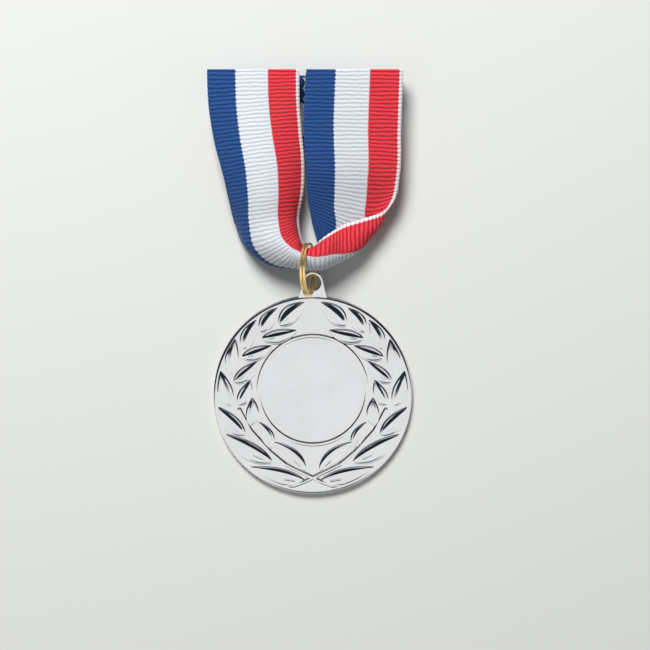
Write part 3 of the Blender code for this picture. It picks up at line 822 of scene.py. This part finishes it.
def make_ribbon(weave):
    """One closed strip of grosgrain, ribbed where it shows, and its length in metres."""
    rows, first, last = ribbon_path()
    flare_selvedge(rows[first:last])
    steps = np.linalg.norm(np.diff(rows, axis=0), axis=2).mean(axis=1)
    distance = np.concatenate(([0.0], np.cumsum(steps)))
    ribs = (distance - distance[first]) / RIB_PITCH
    ribs = ribs[:, None] + rib_sway(ribs, RIBBON_COLUMNS)
    index = np.arange(len(rows))
    ribbed = np.clip(np.minimum(index - first, last - 1 - index) / RIB_FADE_ROWS, 0.0, 1.0)
    wave = np.abs(np.sin(math.pi * ribs)) ** 0.7 * ribbed[:, None]
    upper, lower = thickened(rows, wave)
    points = np.concatenate((upper.reshape(-1, 3), lower.reshape(-1, 3)))
    ribbon = piece("ribbon", points, sheet_faces(len(rows), RIBBON_COLUMNS))
    map_weave(ribbon, ribs)
    ribbon.data.materials.append(weave)
    return ribbon, float(distance[-1]) * MM


def seam_line():
    """The thread's path over the seam: a zigzag that dips into the ribbon at each corner."""
    first = TOP_Y - RIBBON_WIDTH + SEAM_MARGIN
    reach = RIBBON_WIDTH - 2.0 * SEAM_MARGIN
    height = CROSSING_HEIGHT + 0.5 * RIBBON_THICKNESS + STITCH_LIFT
    places = []
    for stitch in range(STITCHES):
        x = SEAM_X + (STITCH_HALF_WIDTH if stitch % 2 else -STITCH_HALF_WIDTH)
        corner = np.array((x, first + reach * stitch / (STITCHES - 1), height - STITCH_DIP))
        if places:
            before = places[-1]
            for share in (0.25, 0.5, 0.75):
                middle = before * (1.0 - share) + corner * share
                middle[2] = height + STITCH_ARCH * math.sin(math.pi * share)
                places.append(middle)
        places.append(corner)
    return np.array(places)


def make_seam(material):
    """The stitches: a round thread along the seam's zigzag."""
    places = seam_line()
    runs = np.gradient(places, axis=0)
    runs /= np.linalg.norm(runs, axis=1, keepdims=True)
    side = np.cross(runs, (0.0, 0.0, 1.0))
    side /= np.linalg.norm(side, axis=1, keepdims=True)
    up = np.cross(side, runs)
    points = []
    for place, out, rise in zip(places, side, up):
        for angle in np.linspace(0.0, 2.0 * math.pi, THREAD_SIDES, endpoint=False):
            points.append(place + THREAD_RADIUS * (out * math.cos(angle) + rise * math.sin(angle)))
    last = (len(places) - 1) * THREAD_SIDES
    faces = grid_faces(len(places), THREAD_SIDES, wrap=True)
    faces.append(tuple(reversed(range(THREAD_SIDES))))
    faces.append(tuple(range(last, last + THREAD_SIDES)))
    seam = piece("seam_stitches", points, faces)
    seam.data.materials.append(material)
    return seam


# ---------------------------------------------------------------- stage, lights and camera


def make_floor():
    """A plain pale floor."""
    corners = ((-1.0, -1.0), (1.0, -1.0), (1.0, 1.0), (-1.0, 1.0))
    points = [(FLOOR_HALF_SIDE * x, FLOOR_HALF_SIDE * y, FLOOR_HEIGHT) for x, y in corners]
    floor = piece("floor", points, [(0, 1, 2, 3)], smooth=False)
    pale = new_material("floor", Base_Color=FLOOR_COLOUR, Roughness=0.9)[0]
    floor.data.materials.append(pale)


def area_light(name, place, aim, size, power):
    """A square area light that points at the object and isn't mirrored in it."""
    data = bpy.data.lights.new(name, "AREA")
    data.size = size
    data.energy = power
    light = bpy.data.objects.new(name, data)
    light.location = place
    light.rotation_euler = (Vector(aim) - Vector(place)).to_track_quat("-Z", "Y").to_euler()
    light.visible_glossy = False
    bpy.context.scene.collection.objects.link(light)


def make_world():
    """A bright room overhead that darkens towards +Y, and that lights matt surfaces less."""
    world = bpy.data.worlds.new("studio")
    world.use_nodes = True
    tree = world.node_tree
    background = tree.nodes["Background"]
    place = node(tree, "ShaderNodeTexCoord").outputs["Generated"]
    split = node(tree, "ShaderNodeSeparateXYZ", {0: place})
    low = maths(tree, "MULTIPLY_ADD", split.outputs[2], -0.45, 0.45)
    toward = maths(tree, "ADD", split.outputs[1], low)
    toward = maths(tree, "MULTIPLY_ADD", split.outputs[0], -0.08, toward)
    toward = maths(tree, "MULTIPLY_ADD", toward, 0.5, 0.5)
    tree.links.new(ramp(tree, toward, SKY_STOPS), background.inputs["Color"])
    diffuse = node(tree, "ShaderNodeLightPath").outputs["Is Diffuse Ray"]
    strength = maths(tree, "MULTIPLY_ADD", diffuse, DIFFUSE_SKY - 1.0, 1.0)
    tree.links.new(strength, background.inputs["Strength"])
    bpy.context.scene.world = world


def make_camera():
    """Straight down over the middle of the view."""
    data = bpy.data.cameras.new("camera")
    data.lens = LENS
    data.sensor_width = SENSOR
    data.clip_start = 0.01
    data.clip_end = 20.0
    camera = bpy.data.objects.new("camera", data)
    distance = VIEW_WIDTH * LENS / SENSOR + FIELD_HEIGHT
    camera.location = (VIEW_CENTRE[0] * MM, VIEW_CENTRE[1] * MM, distance * MM)
    bpy.context.scene.collection.objects.link(camera)
    bpy.context.scene.camera = camera


def main():
    """Build every piece and tie it to its body."""
    make_camera()
    nickel = plated_metal("bright_nickel", NICKEL, 0.09, 160.0, 0.04)
    gilt = plated_metal("gilt", GILT, 0.12, 700.0, 0.05, metallic=0.86)
    for part in (make_disc(nickel), make_lug(nickel)):
        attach(part, "medal")
        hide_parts("medal_disc")
    ring = make_split_ring(gilt)
    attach(ring, "ring")
    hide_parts("split_ring")
    ribbon, flat_length = make_ribbon(grosgrain_material())
    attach(ribbon, "ribbon")
    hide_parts(*[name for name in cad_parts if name.startswith("ribbon_")])
    seam = make_seam(thread_material())
    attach(seam, "ribbon")
    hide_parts("seam_thread")
    make_floor()
    make_world()
    area_light("key", KEY_PLACE, KEY_AIM, KEY_SIZE, KEY_POWER)
    area_light("fill", FILL_PLACE, FILL_AIM, FILL_SIZE, FILL_POWER)
    bpy.context.scene.view_settings.view_transform = "Standard"


main()
